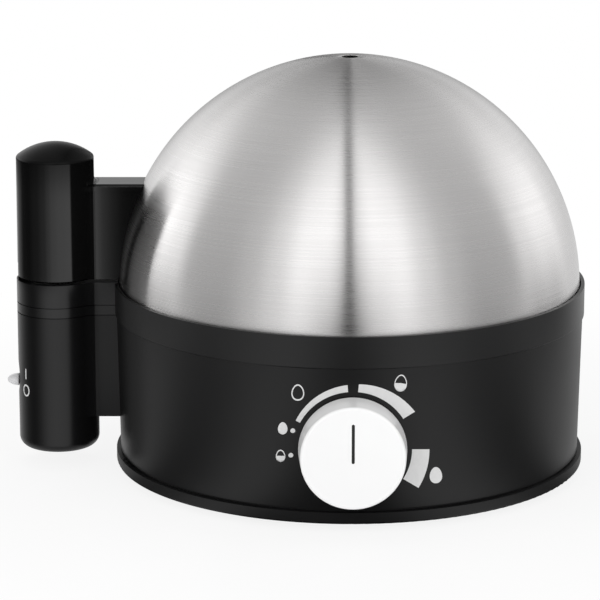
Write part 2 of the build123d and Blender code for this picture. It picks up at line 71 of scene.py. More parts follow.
class DomeSettings(bpy.types.PropertyGroup):
    radius: FloatProperty(
        name="Radius", description="Outer radius of the dome", default=0.0905,
        unit="LENGTH", precision=5,
    )
    sheet: FloatProperty(
        name="Sheet", description="Thickness of the steel sheet", default=0.0009,
        unit="LENGTH", precision=5,
    )
    vent_radius: FloatProperty(
        name="Vent radius", description="Radius of the steam hole at the top", default=0.0033,
        unit="LENGTH", precision=5,
    )
    vent_bevel: FloatProperty(
        name="Vent bevel", description="How far the hole is cut back from inside", default=0.0016,
        unit="LENGTH", precision=5,
    )
    skirt: FloatProperty(
        name="Skirt", description="Height of the straight wall below the half sphere",
        default=0.0031, unit="LENGTH", precision=5,
    )
    tint: FloatVectorProperty(
        name="Steel", description="Colour of the brushed steel", subtype="COLOR", size=3,
        min=0, max=1, default=(0.62, 0.61, 0.607),
    )


class DialPrintSettings(bpy.types.PropertyGroup):
    inner_radius: FloatProperty(
        name="Inner radius", description="Where the printed bands start", default=0.022,
        unit="LENGTH", precision=5,
    )
    ink: FloatVectorProperty(
        name="Ink", description="Colour of the print", subtype="COLOR", size=3,
        min=0, max=1, default=(0.62, 0.62, 0.62),
    )
    lift: FloatProperty(
        name="Lift", description="How far the ink stands off the housing", default=0.00006,
        unit="LENGTH", precision=6,
    )


class SwitchPrintSettings(bpy.types.PropertyGroup):
    on_height: FloatProperty(
        name="On height", description="Height of the on mark", default=0.0042,
        unit="LENGTH", precision=5,
    )
    off_height: FloatProperty(
        name="Off height", description="Height of the off mark", default=0.0049,
        unit="LENGTH", precision=5,
    )
    off_width: FloatProperty(
        name="Off width", description="Width of the off mark round the column", default=0.0041,
        unit="LENGTH", precision=5,
    )
    stroke: FloatProperty(
        name="Stroke", description="Width of the marks' lines", default=0.00062,
        unit="LENGTH", precision=6,
    )
    on_rise: FloatProperty(
        name="On rise", description="Middle of the on mark above the switch", default=0.0048,
        unit="LENGTH", precision=5,
    )
    off_drop: FloatProperty(
        name="Off drop", description="Middle of the off mark below the switch", default=0.0019,
        unit="LENGTH", precision=5,
    )
    angle: FloatProperty(
        name="Angle", description="Place of the marks round the column", default=math.radians(40),
        subtype="ANGLE",
    )
    column_radius: FloatProperty(
        name="Column radius", description="Radius of the lower column", default=0.01585,
        unit="LENGTH", precision=5,
    )


class SwitchNubSettings(bpy.types.PropertyGroup):
    nose: FloatProperty(
        name="Nose", description="Length of the nub's rounded nose", default=0.0043,
        unit="LENGTH", precision=5,
    )
    out: FloatProperty(
        name="Out", description="How far the nub stands off the column", default=0.0045,
        unit="LENGTH", precision=5,
    )
    gap: FloatProperty(
        name="Gap", description="Between the nub and the column", default=0.00015,
        unit="LENGTH", precision=6,
    )
    half_width: FloatProperty(
        name="Half width", description="Half the nub's width round the column", default=0.0035,
        unit="LENGTH", precision=5,
    )
    half_height: FloatProperty(
        name="Half height", description="Half the nub's height", default=0.00215,
        unit="LENGTH", precision=5,
    )
    stem_half: FloatProperty(
        name="Stem", description="Half the stem's thickness", default=0.0015,
        unit="LENGTH", precision=5,
    )


class FinishSettings(bpy.types.PropertyGroup):
    slider_grey: FloatVectorProperty(
        name="Slider", description="Grey of the switch's slider", subtype="COLOR", size=3,
        min=0, max=1, default=(0.6, 0.6, 0.61),
    )
    housing_black: FloatVectorProperty(
        name="Housing", description="Satin black of the base", subtype="COLOR", size=3,
        min=0, max=1, default=(0.0025, 0.0025, 0.0027),
    )
    arm_black: FloatVectorProperty(
        name="Arm", description="Glossy black of the lid's arm", subtype="COLOR", size=3,
        min=0, max=1, default=(0.0025, 0.0025, 0.0025),
    )
    knob_white: FloatVectorProperty(
        name="Dial", description="White of the dial", subtype="COLOR", size=3,
        min=0, max=1, default=(0.86, 0.86, 0.86),
    )


class StageSettings(bpy.types.PropertyGroup):
    distance: FloatProperty(
        name="Distance", description="From the cooker's axis to the camera, along Y",
        default=1.2295, unit="LENGTH",
    )
    eye_height: FloatProperty(
        name="Eye height", description="Camera above the table", default=0.370, unit="LENGTH",
    )
    sideways: FloatProperty(
        name="Sideways", description="Camera left of the cooker's axis", default=0.0195,
        unit="LENGTH", precision=5,
    )
    pitch: FloatProperty(
        name="Pitch", description="How far the camera looks down", default=math.radians(13.9),
        subtype="ANGLE",
    )
    lens: FloatProperty(name="Lens", description="Focal length in mm", default=192.3)
    clear_radius: FloatProperty(
        name="Clear radius", description="Beyond this the floor is plain white", default=0.32,
        unit="LENGTH",
    )
    fill: FloatProperty(
        name="Fill", description="Even light from all round, as a share of the white background",
        default=0.4, min=0, max=1, subtype="FACTOR",
    )
    near_glow: FloatProperty(
        name="Near glow", description="Share of plain white in the floor under the cooker",
        default=0.86, min=0, max=1, subtype="FACTOR",
    )
    tent_radius: FloatProperty(
        name="Tent radius", description="Radius of the light tent that shiny surfaces show",
        default=0.6, unit="LENGTH",
    )
    seam_x: FloatProperty(
        name="Seam", description="Place of the tent's dark seam, from the cooker's axis",
        default=-0.009, unit="LENGTH",
    )
    floor_radius: FloatProperty(
        name="Floor radius", description="Radius of the round floor", default=3.0, unit="LENGTH",
    )
    rings: IntProperty(name="Rings", description="Rings in the floor's mesh", default=24, min=4)
    sleeve_radius: FloatProperty(
        name="Sleeve radius", description="Radius of the reflector that only the grip shows",
        default=0.022, unit="LENGTH", precision=5,
    )
    arm_face: FloatProperty(
        name="Arm face", description="Distance of the arm's side from its middle", default=0.0074,
        unit="LENGTH", precision=5,
    )


# Materials


def new_material(name):
    material = bpy.data.materials.new(name)
    material.use_nodes = True
    shader = material.node_tree.nodes["Principled BSDF"]
    return material, material.node_tree.nodes, material.node_tree.links, shader


def calculate(nodes, links, operation, *values):
    """One step of arithmetic on sockets or plain numbers."""
    node = nodes.new("ShaderNodeMath")
    node.operation = operation
    for socket, value in zip(node.inputs, values):
        if isinstance(value, (int, float)):
            socket.default_value = value
        else:
            links.new(value, socket)
    return node.outputs["Value"]


def own_place(nodes, links):
    """Object's own coordinates, whole and split."""
    place = nodes.new("ShaderNodeTexCoord")
    split = nodes.new("ShaderNodeSeparateXYZ")
    links.new(place.outputs["Object"], split.inputs["Vector"])
    return place.outputs["Object"], split.outputs


def noise(nodes, links, scale, detail=3.0, stretch=(1, 1, 1)):
    """Noise over the object's own coordinates, stretched along its axes."""
    place = nodes.new("ShaderNodeTexCoord")
    mapping = nodes.new("ShaderNodeMapping")
    mapping.inputs["Scale"].default_value = stretch
    texture = nodes.new("ShaderNodeTexNoise")
    texture.inputs["Scale"].default_value = scale
    texture.inputs["Detail"].default_value = detail
    links.new(place.outputs["Object"], mapping.inputs["Vector"])
    links.new(mapping.outputs["Vector"], texture.inputs["Vector"])
    return texture.outputs["Fac"]


# Range that most of a noise's values lie in
noise_low, noise_high = 0.3, 0.7


def between(nodes, links, fac, low, high):
    """Carries a noise to the range low..high."""
    node = nodes.new("ShaderNodeMapRange")
    node.inputs["From Min"].default_value = noise_low
    node.inputs["From Max"].default_value = noise_high
    node.inputs["To Min"].default_value = low
    node.inputs["To Max"].default_value = high
    links.new(fac, node.inputs["Value"])
    return node.outputs["Result"]


def two_tone(nodes, links, fac, colour, spread):
    """Colour that a noise makes a little darker or paler."""
    ramp = nodes.new("ShaderNodeValToRGB")
    ramp.color_ramp.elements[0].position = 0.35
    ramp.color_ramp.elements[1].position = 0.65
    ramp.color_ramp.elements[0].color = (*(c * (1 - spread) for c in colour), 1)
    ramp.color_ramp.elements[1].color = (*(min(1, c * (1 + spread)) for c in colour), 1)
    links.new(fac, ramp.inputs["Fac"])
    return ramp.outputs["Color"]


def bump(nodes, links, fac, strength, distance):
    node = nodes.new("ShaderNodeBump")
    node.inputs["Strength"].default_value = strength
    node.inputs["Distance"].default_value = distance
    links.new(fac, node.inputs["Height"])
    return node.outputs["Normal"]


def moulded_plastic(name, colour, rough, grain=900, grain_depth=0.25, spread=0.06, gloss=0.5):
    """Moulded plastic: slight cloudiness in colour and gloss, and a fine spark-eroded grain."""
    material, nodes, links, shader = new_material(name)
    cloud = noise(nodes, links, 22)
    fine = noise(nodes, links, grain, detail=2)
    links.new(two_tone(nodes, links, cloud, colour, spread), shader.inputs["Base Color"])
    links.new(between(nodes, links, cloud, rough[0], rough[1]), shader.inputs["Roughness"])
    links.new(bump(nodes, links, fine, grain_depth, 0.00004), shader.inputs["Normal"])
    shader.inputs["IOR"].default_value = 1.5
    shader.inputs["Specular IOR Level"].default_value = gloss
    return material


def slider_plastic(name):
    """Smooth pale grey plastic of the switch's slider."""
    grey = bpy.context.scene.egg_finish.slider_grey
    return moulded_plastic(name, grey, (0.25, 0.32), grain_depth=0.06)


def soft_rubber(name, colour):
    """Matte rubber with a very fine grain."""
    material, nodes, links, shader = new_material(name)
    fine = noise(nodes, links, 1400, detail=4)
    cloud = noise(nodes, links, 60)
    links.new(two_tone(nodes, links, cloud, colour, 0.12), shader.inputs["Base Color"])
    links.new(between(nodes, links, fine, 0.7, 0.85), shader.inputs["Roughness"])
    links.new(bump(nodes, links, fine, 0.35, 0.00005), shader.inputs["Normal"])
    shader.inputs["IOR"].default_value = 1.45
    return material


def machined_metal(name, colour, rough, stretch, scale=160):
    """Metal with drawn or turned lines along one of its axes."""
    material, nodes, links, shader = new_material(name)
    lines = noise(nodes, links, scale, detail=5, stretch=stretch)
    links.new(two_tone(nodes, links, lines, colour, 0.1), shader.inputs["Base Color"])
    links.new(between(nodes, links, lines, rough[0], rough[1]), shader.inputs["Roughness"])
    links.new(bump(nodes, links, lines, 0.2, 0.00003), shader.inputs["Normal"])
    shader.inputs["Metallic"].default_value = 1.0
    return material


def polar_angle(nodes, links):
    """Angle from the object's own Z axis, so that lines of equal value run round the dome."""
    place, (x, y, z) = own_place(nodes, links)
    flat = nodes.new("ShaderNodeCombineXYZ")
    links.new(x, flat.inputs["X"])
    links.new(y, flat.inputs["Y"])
    length = nodes.new("ShaderNodeVectorMath")
    length.operation = "LENGTH"
    links.new(flat.outputs["Vector"], length.inputs[0])
    return place, calculate(nodes, links, "ARCTAN2", length.outputs["Value"], z)


def brushed_dome_steel(name, colour):
    """Steel brushed round the dome: fine lines at equal height with a grain that breaks them up."""
    material, nodes, links, shader = new_material(name)
    place, angle = polar_angle(nodes, links)
    grains = []
    # lines per radian down from the top, and how fast they change along the brushing
    for density, drift in ((900.0, 24.0), (140.0, 7.0)):
        rings = calculate(nodes, links, "MULTIPLY", angle, density)
        along = nodes.new("ShaderNodeVectorMath")
        along.operation = "SCALE"
        along.inputs["Scale"].default_value = drift
        links.new(place, along.inputs[0])
        shift = nodes.new("ShaderNodeCombineXYZ")
        links.new(rings, shift.inputs["Z"])
        vector = nodes.new("ShaderNodeVectorMath")
        vector.operation = "ADD"
        links.new(along.outputs["Vector"], vector.inputs[0])
        links.new(shift.outputs["Vector"], vector.inputs[1])
        texture = nodes.new("ShaderNodeTexNoise")
        texture.inputs["Scale"].default_value = 1.0
        texture.inputs["Detail"].default_value = 4.0
        links.new(vector.outputs["Vector"], texture.inputs["Vector"])
        grains.append(texture.outputs["Fac"])
    fine, broad = grains
    links.new(two_tone(nodes, links, fine, colour, 0.035), shader.inputs["Base Color"])
    links.new(between(nodes, links, broad, 0.26, 0.3), shader.inputs["Roughness"])
    links.new(bump(nodes, links, fine, 0.035, 0.00001), shader.inputs["Normal"])
    tangent = nodes.new("ShaderNodeTangent")
    tangent.direction_type = "RADIAL"
    tangent.axis = "Z"
    links.new(tangent.outputs["Tangent"], shader.inputs["Tangent"])
    shader.inputs["Metallic"].default_value = 1.0
    shader.inputs["Anisotropic"].default_value = 1.0
    shader.inputs["Anisotropic Rotation"].default_value = 0.25
    return material


def circuit_board(name):
    """Lacquered board with a weave of tracks."""
    material, nodes, links, shader = new_material(name)
    tracks = nodes.new("ShaderNodeTexBrick")
    tracks.inputs["Scale"].default_value = 260
    tracks.inputs["Color1"].default_value = (0.01, 0.12, 0.045, 1)
    tracks.inputs["Color2"].default_value = (0.012, 0.15, 0.06, 1)
    tracks.inputs["Mortar"].default_value = (0.03, 0.2, 0.09, 1)
    place = nodes.new("ShaderNodeTexCoord")
    links.new(place.outputs["Object"], tracks.inputs["Vector"])
    links.new(tracks.outputs["Color"], shader.inputs["Base Color"])
    lacquer = noise(nodes, links, 300)
    links.new(between(nodes, links, lacquer, 0.35, 0.5), shader.inputs["Roughness"])
    return material


def printed_ink(name, colour):
    """Matte print with a faint speckle."""
    material, nodes, links, shader = new_material(name)
    speck = noise(nodes, links, 700, detail=4)
    links.new(two_tone(nodes, links, speck, colour, 0.02), shader.inputs["Base Color"])
    links.new(between(nodes, links, speck, 0.4, 0.55), shader.inputs["Roughness"])
    links.new(bump(nodes, links, speck, 0.15, 0.00002), shader.inputs["Normal"])
    return material


def profile_ramp(nodes, links, fac, stops, full):
    """Values at places from 0 to full, as a smooth grey ramp."""
    ramp = nodes.new("ShaderNodeValToRGB")
    ramp.color_ramp.interpolation = "EASE"
    elements = ramp.color_ramp.elements
    while len(elements) < len(stops):
        elements.new(0.5)
    for element, (place, value) in zip(elements, stops):
        element.position = place / full
        element.color = (value, value, value, 1)
    links.new(fac, ramp.inputs["Fac"])
    return ramp.outputs["Color"]


def tall_ramp(nodes, links, fac, stops, full):
    """Smooth ramp whose values may pass 1."""
    peak = max(value for _, value in stops)
    shares = [(place, value / peak) for place, value in stops]
    return calculate(nodes, links, "MULTIPLY", profile_ramp(nodes, links, fac, shares, full), peak)


def tent_cloth(name, radius, seam_x):
    """Tent's glow: bright panels at the front, lobes at the back, a dark seam between panels."""
    material, nodes, links, shader = new_material(name)
    nodes.remove(shader)
    _, (x, y, z) = own_place(nodes, links)

    def step(operation, *values):
        return calculate(nodes, links, operation, *values)

    def ramp(fac, stops, full=180):
        return tall_ramp(nodes, links, fac, stops, full)

    def mix(fac, low, high):
        return step("ADD", low, step("MULTIPLY", fac, step("SUBTRACT", high, low)))

    # turn from the front as a share of half a turn, rise as a share of a quarter turn
    turn = step("ABSOLUTE", step("ARCTAN2", x, step("MULTIPLY", y, -1)))
    turn = step("DIVIDE", turn, math.pi)
    flat = step("SQRT", step("ADD", step("MULTIPLY", x, x), step("MULTIPLY", y, y)))
    rise = step("DIVIDE", step("ARCTAN2", z, flat), math.pi / 2)
    reach = step("DIVIDE", flat, radius)

    # two front panels that join above
    low_front = ramp(turn, (
        (0, 0), (12, 0.65), (24, 1.0), (36, 0.5), (48, 0.15), (62, 0),
    ))
    high_front = ramp(turn, (
        (0, 0.7), (12, 1.05), (24, 0.85), (36, 0.42), (48, 0.1), (62, 0),
    ))
    front = mix(ramp(rise, ((10, 0), (50, 1)), 90), low_front, high_front)
    front = step("MULTIPLY", front, ramp(rise, (
        (0, 0.5), (14, 1.0), (26, 1.25), (38, 1.22), (52, 1.12), (68, 0.75), (90, 0.6),
    ), 90))
    # lobes behind, the left one a little brighter
    back = ramp(turn, (
        (82, 0), (94, 0.75), (108, 1.1), (120, 1.05), (132, 0.6), (146, 0.35), (170, 0),
    ))
    back = step("MULTIPLY", back, ramp(rise, (
        (0, 0.35), (12, 0.95), (24, 1.25), (38, 0.6), (52, 0.15), (70, 0.1), (90, 0),
    ), 90))
    back_lean = -0.18
    back = step("MULTIPLY", back, step("ADD", 1, step("MULTIPLY", x, back_lean / radius)))
    plain = ramp(rise, (
        (0, 0.52), (14, 0.55), (28, 0.65), (45, 0.7), (60, 0.7), (75, 0.68), (90, 0.58),
    ), 90)
    wall = step("ADD", step("ADD", front, back), plain)
    # darker high up at the back
    far_back = ramp(turn, ((140, 0), (172, 0.5)))
    dark = step("MULTIPLY", far_back, ramp(rise, ((20, 0), (45, 1)), 90))
    wall = step("MULTIPLY", wall, step("SUBTRACT", 1, dark))

    # the floor is darker near the cooker's sides
    near = ramp(turn, (
        (0, 0.62), (8, 0.78), (18, 1.1), (28, 1.22), (36, 1.12), (44, 0.78), (52, 0.34),
        (60, 0.13), (68, 0.14), (76, 0.42), (85, 0.68), (95, 0.66), (110, 0.65), (140, 0.5),
        (165, 0.65),
    ))
    far = ramp(turn, (
        (0, 0.4), (12, 0.68), (24, 0.93), (40, 0.78), (60, 0.6), (80, 0.65), (98, 0.2),
        (110, 0.25), (128, 0.8),
    ))
    ground = mix(ramp(reach, ((0.36, 0), (0.62, 1)), 1), near, far)
    glow = mix(ramp(rise, ((0, 0), (8, 1)), 90), ground, wall)

    # seam in a plane beside the camera, wider near the floor
    beside = step("ABSOLUTE", step("SUBTRACT", x, seam_x))
    widening = ramp(rise, ((0, 2.5), (11, 1.85), (24, 1.1), (38, 0.92)), 90)
    seam_core, seam_edge = 0.009, 0.023
    seam = ramp(step("DIVIDE", beside, widening), ((seam_core, 0), (seam_edge, 1)), 1)
    glow = step("MULTIPLY", glow, seam)
    emission = nodes.new("ShaderNodeEmission")
    links.new(glow, emission.inputs["Strength"])
    links.new(emission.outputs["Emission"], nodes["Material Output"].inputs["Surface"])
    return material


def card_cloth(name, inside_at, outside_at=None):
    """Glow on a card's inside. Its outside is clear where it has no faint glow of its own."""
    material, nodes, links, shader = new_material(name)
    nodes.remove(shader)
    _, axes = own_place(nodes, links)

    def glowing(glow):
        emission = nodes.new("ShaderNodeEmission")
        links.new(glow, emission.inputs["Strength"])
        return emission.outputs["Emission"]

    def blend(share, first, second):
        mix = nodes.new("ShaderNodeMixShader")
        links.new(share, mix.inputs["Fac"])
        links.new(first, mix.inputs[1])
        links.new(second, mix.inputs[2])
        return mix.outputs["Shader"]

    outside = nodes.new("ShaderNodeBsdfTransparent").outputs["BSDF"]
    if outside_at:
        share, glow = outside_at(nodes, links, *axes)
        outside = blend(share, outside, glowing(glow))
    inside = glowing(inside_at(nodes, links, *axes))
    side = nodes.new("ShaderNodeNewGeometry")
    surface = blend(side.outputs["Backfacing"], outside, inside)
    links.new(surface, nodes["Material Output"].inputs["Surface"])
    return material


def from_front(stops):
    """Stops at angles from the front, carried to a whole turn with the front at 180."""
    return [(180 + angle, value) for angle, value in stops]


def sleeve_angle(nodes, links, x, y):
    """Angle round the column as a share of a whole turn, with the front at a half."""
    angle = calculate(nodes, links, "ARCTAN2", x, calculate(nodes, links, "MULTIPLY", y, -1))
    share = calculate(nodes, links, "DIVIDE", angle, 2 * math.pi)
    return calculate(nodes, links, "ADD", share, 0.5)


def sleeve_cloth(name, join):
    """Light band at the front with a sharp right edge, softer below the lid's joint."""
    above = from_front((
        (-113, 0.6), (-89, 0.32), (-72, 0.05), (-56, 0.03), (-36, 0.13), (-19, 0.34),
        (-11, 0.65), (-3, 0.95), (12, 1.15), (33, 1.25), (34.4, 0.02),
    ))
    below = from_front((
        (-113, 1.2), (-90, 0.9), (-76, 0.55), (-63, 0.22), (-50, 0.08), (-40, 0.1), (-31, 0.4),
        (-22, 0.9), (-14, 1.25), (-4, 1.35), (16, 1.3), (24, 1.1), (27, 0.02),
    ))
    # the reflections of the joint lie a little below it
    change = ((join - 0.0025, 0), (join - 0.0015, 1))
    top_fade = ((0.106, 1), (0.124, 0.4))
    cover = from_front(((-12, 0), (18, 1)))
    grey = from_front(((0, 0.3), (18, 0.17), (36, 0.12), (60, 0.07)))

    def inside(nodes, links, x, y, z):
        share = sleeve_angle(nodes, links, x, y)
        low = tall_ramp(nodes, links, share, below, 360)
        high = tall_ramp(nodes, links, share, above, 360)
        upper = profile_ramp(nodes, links, z, change, 1)
        rest = calculate(nodes, links, "SUBTRACT", 1, upper)
        low = calculate(nodes, links, "MULTIPLY", low, rest)
        high = calculate(nodes, links, "MULTIPLY", high, upper)
        glow = calculate(nodes, links, "ADD", low, high)
        fade = profile_ramp(nodes, links, z, top_fade, 1)
        return calculate(nodes, links, "MULTIPLY", glow, fade)

    def outside(nodes, links, x, y, z):
        """Dark grey column as the dome's left edge shows it."""
        share = sleeve_angle(nodes, links, x, y)
        return (
            profile_ramp(nodes, links, share, cover, 360),
            profile_ramp(nodes, links, share, grey, 360),
        )

    return card_cloth(name, inside, outside)


def arm_card_glow(nodes, links, x, y, z):
    """Bright beside the column and dark towards the dome."""
    return tall_ramp(nodes, links, x, (
        (0, 1.4), (0.0028, 0.85), (0.0044, 0.5), (0.0075, 0.27), (0.0105, 0.12), (0.013, 0.04),
    ), 1)


# Shapes


def place_object(name, data, location=(0, 0, 0)):
    placed = bpy.data.objects.new(name, data)
    bpy.context.scene.collection.objects.link(placed)
    placed.location = location
    return placed


def add_piece(name, mesh, body, material):
    """Smooth piece of the cooker that rides on one of its bodies."""
    piece = place_object(name, mesh)
    mesh.materials.append(material)
    for polygon in mesh.polygons:
        polygon.use_smooth = True
    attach(piece, body)
    return piece


def arc(radius, start, end, steps=64):
    """Points of (radius, height) on a circle, at angles from its top."""
    angles = [start + (end - start) * i / steps for i in range(steps + 1)]
    return [(radius * math.sin(a), radius * math.cos(a)) for a in angles]


def bridge(work, rings):
    """Faces between closed rings of points that have equal counts."""
    for low, high in zip(rings, rings[1:]):
        for n in range(len(low)):
            m = (n + 1) % len(low)
            work.faces.new((low[n], low[m], high[m], high[n]))


def turned_mesh(name, profile, sides, closed=True):
    """Turns a profile of (radius, height) round Z. Its first and last points join when closed."""
    mesh = bpy.data.meshes.new(name)
    work = bmesh.new()
    rings = []
    for radius, height in profile:
        ring = []
        for n in range(sides):
            a = 2 * math.pi * n / sides
            ring.append(work.verts.new((radius * math.cos(a), radius * math.sin(a), height)))
        rings.append(ring)
    bridge(work, rings + rings[:1] if closed else rings)
    bmesh.ops.recalc_face_normals(work, faces=work.faces)
    work.to_mesh(mesh)
    work.free()
    return mesh


def patch_mesh(name, rows):
    """Faces between rows of points that have equal counts."""
    mesh = bpy.data.meshes.new(name)
    work = bmesh.new()
    grid = [[work.verts.new(p) for p in row] for row in rows]
    for low, high in zip(grid, grid[1:]):
        for n in range(len(low) - 1):
            work.faces.new((low[n], low[n + 1], high[n + 1], high[n]))
    work.to_mesh(mesh)
    work.free()
    return mesh


def join_meshes(name, meshes):
    """One mesh of many, with the points that meet joined."""
    joined = bpy.data.meshes.new(name)
    work = bmesh.new()
    for mesh in meshes:
        work.from_mesh(mesh)
        bpy.data.meshes.remove(mesh)
    bmesh.ops.remove_doubles(work, verts=work.verts, dist=1e-7)
    work.to_mesh(joined)
    work.free()
    return joined


# The housing narrows towards the table
housing_low_r, housing_low_z = 0.0908, 0.0079
housing_high_r, housing_high_z = 0.0919, 0.0622


def housing_radius(z):
    """Radius of the housing's side at a height."""
    share = (z - housing_low_z) / (housing_high_z - housing_low_z)
    return housing_low_r + (housing_high_r - housing_low_r) * share


def on_housing(right, up, lift):
    """Point of the dial's artwork, carried onto the housing along the camera's line of sight."""
    stage = bpy.context.scene.egg_stage
    eye = Vector((axis_x - stage.sideways, axis_y - stage.distance, stage.eye_height))
    start = Vector((axis_x + right, axis_y - housing_radius(dial_z), dial_z + up))
    ray = (start - eye).normalized()
    # halving finds where the line of sight meets the housing
    low, high = -0.01, 0.03
    for _ in range(40):
        middle = (low + high) / 2
        p = start + ray * middle
        if math.hypot(p.x - axis_x, p.y - axis_y) > housing_radius(p.z) + lift:
            low = middle
        else:
            high = middle
    return start + ray * high


def band_rows(angle_a, angle_b, inner, width_a, width_b, lift, steps=28, across=4):
    """Printed band round the dial that widens from its start to its end, clockwise."""
    rows = []
    for i in range(steps + 1):
        t = i / steps
        a = angle_a + (angle_b - angle_a) * t
        width = width_a + (width_b - width_a) * t
        radii = [inner + width * j / across for j in range(across + 1)]
        rows.append([on_housing(r * math.sin(a), r * math.cos(a), lift) for r in radii])
    return rows


def egg_point(centre, size, tilt, t, share):
    """Point of an egg's outline, wide end down, at angle t and at a share of its radius."""
    x = size[0] / 2 * math.cos(t) * (1 - 0.14 * math.sin(t)) * share
    y = size[1] / 2 * math.sin(t) * share
    return (
        centre[0] + x * math.cos(tilt) + y * math.sin(tilt),
        centre[1] - x * math.sin(tilt) + y * math.cos(tilt),
    )


def egg_mesh(name, centre, size, lift, tilt=0.0, hollow=0.0, part=(0.0, 2 * math.pi)):
    """Egg symbol: whole, an outline with a hollow share, or the part between two angles."""
    steps, rings = 40, 4
    smallest = 0.002
    rows = []
    for j in range(rings + 1):
        share = max(hollow + (1 - hollow) * j / rings, smallest)
        row = []
        for i in range(steps + 1):
            t = part[0] + (part[1] - part[0]) * i / steps
            x, y = egg_point(centre, size, tilt, t, share)
            row.append(on_housing(x, y, lift))
        rows.append(row)
    return patch_mesh(name, rows)


def rounded_section(x, middle, half_y, half_z, squareness=2.6, sides=40):
    """Rounded rectangle across the X axis."""
    points = []
    for n in range(sides):
        a = 2 * math.pi * n / sides
        across, up = (
            math.copysign(abs(c) ** (2 / squareness), c) for c in (math.cos(a), math.sin(a))
        )
        points.append((x, middle[0] + half_y * across, middle[1] + half_z * up))
    return points


# Operators


class EGG_OT_dome(bpy.types.Operator):
    """Turn the brushed steel dome with its steam hole and rolled lower edge"""

    bl_idname = "egg.dome"
    bl_label = "Dome"

    def execute(self, context):
        s = context.scene.egg_dome
        middle = Vector((axis_x, axis_y, dome_low.z + s.skirt))
        inner = s.radius - s.sheet
        outer_arc = arc(s.radius, math.asin(s.vent_radius / s.radius), math.pi / 2)
        inner_arc = arc(inner, math.pi / 2, math.asin((s.vent_radius + s.vent_bevel) / inner))
        edge = s.sheet / 4
        rim = [
            (s.radius, -s.skirt / 2), (s.radius, edge - s.skirt), (s.radius - edge, -s.skirt),
            (inner + edge, -s.skirt), (inner, edge - s.skirt), (inner, -s.skirt / 2),
        ]
        lip = [(s.vent_radius, outer_arc[0][1] - s.sheet / 6)]
        mesh = turned_mesh("steel_dome", outer_arc + rim + inner_arc + lip, 192)
        material = brushed_dome_steel("brushed_dome", s.tint)
        piece = add_piece("steel_dome", mesh, "lid", material)
        piece.location = middle
        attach(piece, "lid")
        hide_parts("lid_dome")
        return {"FINISHED"}


class EGG_OT_dial_print(bpy.types.Operator):
    """Print the dial's bands, dots and egg symbols on the housing"""

    bl_idname = "egg.dial_print"
    bl_label = "Dial Print"

    def execute(self, context):
        s = context.scene.egg_dial_print
        ink = printed_ink("dial_ink", s.ink)
        mm = 0.001
        # start and end in degrees clockwise from the top, width there
        bands = [
            ("soft_band", -62.4, -4.6, 1.8 * mm, 2.7 * mm),
            ("medium_band", 5.0, 57.8, 3.0 * mm, 5.1 * mm),
            ("hard_band", 90.0, 121.4, 6.4 * mm, 6.7 * mm),
        ]
        meshes = [
            patch_mesh(
                name, band_rows(math.radians(a), math.radians(b), s.inner_radius, wa, wb, s.lift)
            )
            for name, a, b, wa, wb in bands
        ]
        dot_size = (1.8 * mm, 1.8 * mm)
        for name, angle, radius in (("dot_high", -72.0, 23.3 * mm), ("dot_low", -95.6, 23.0 * mm)):
            a = math.radians(angle)
            centre = (radius * math.sin(a), radius * math.cos(a))
            meshes.append(egg_mesh(name, centre, dot_size, s.lift))
        # middle, size, and what sets each symbol apart
        medium = ((17.6 * mm, 25.4 * mm), (4.6 * mm, 6.5 * mm))
        small = ((-26.7 * mm, -2.5 * mm), (3.5 * mm, 4.7 * mm))
        lower, lower_inset = (math.pi, 2 * math.pi), (math.pi * 1.02, math.pi * 1.98)
        tilt = math.radians(6)
        eggs = [
            ("soft_egg", (-20.3 * mm, 21.8 * mm), (4.7 * mm, 6.3 * mm), {"hollow": 0.82}),
            ("medium_egg_line", *medium, {"tilt": tilt, "hollow": 0.86}),
            ("medium_egg_fill", *medium, {"tilt": tilt, "part": lower_inset}),
            ("hard_egg", (30.9 * mm, -10.0 * mm), (4.6 * mm, 6.3 * mm), {}),
            ("small_egg_full", (-25.9 * mm, 8.1 * mm), (3.5 * mm, 4.7 * mm), {}),
            ("small_egg_line", *small, {"hollow": 0.8}),
            ("small_egg_fill", *small, {"part": lower}),
        ]
        for name, centre, size, kind in eggs:
            meshes.append(egg_mesh(name, centre, size, s.lift, **kind))
        add_piece("dial_print", join_meshes("dial_print", meshes), "base", ink)
        return {"FINISHED"}


class EGG_OT_switch_print(bpy.types.Operator):
    """Print the on and off marks beside the switch on the column"""

    bl_idname = "egg.switch_print"
    bl_label = "Switch Print"

    def execute(self, context):
        s = context.scene.egg_switch_print
        low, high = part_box("switch_slider")
        house_low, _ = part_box("column_housing")
        column_x = house_low.x + s.column_radius
        r = s.column_radius + context.scene.egg_dial_print.lift
        middle = (low.z + high.z) / 2
        on_z, off_z = middle + s.on_rise, middle - s.off_drop

        def on_column(right, up):
            a = math.pi + s.angle + right / s.column_radius
            return Vector((column_x + r * math.cos(a), axis_y + r * math.sin(a), up))

        bar_rows = []
        lengths = 8
        for i in range(lengths + 1):
            up = on_z + s.on_height * (i / lengths - 0.5)
            bar_rows.append([on_column(s.stroke * (j / 2 - 0.5), up) for j in range(3)])
        count = 40
        turns = [2 * math.pi * i / count for i in range(count + 1)]
        ring_rows = []
        for inset in (s.stroke, s.stroke / 2, 0.0):
            across = s.off_width / 2 - inset
            tall = s.off_height / 2 - inset
            ring_rows.append(
                [on_column(across * math.cos(t), off_z + tall * math.sin(t)) for t in turns]
            )
        mesh = join_meshes(
            "switch_print", [patch_mesh("on_mark", bar_rows), patch_mesh("off_mark", ring_rows)]
        )
        ink = printed_ink("switch_ink", context.scene.egg_dial_print.ink)
        add_piece("switch_print", mesh, "base", ink)
        return {"FINISHED"}


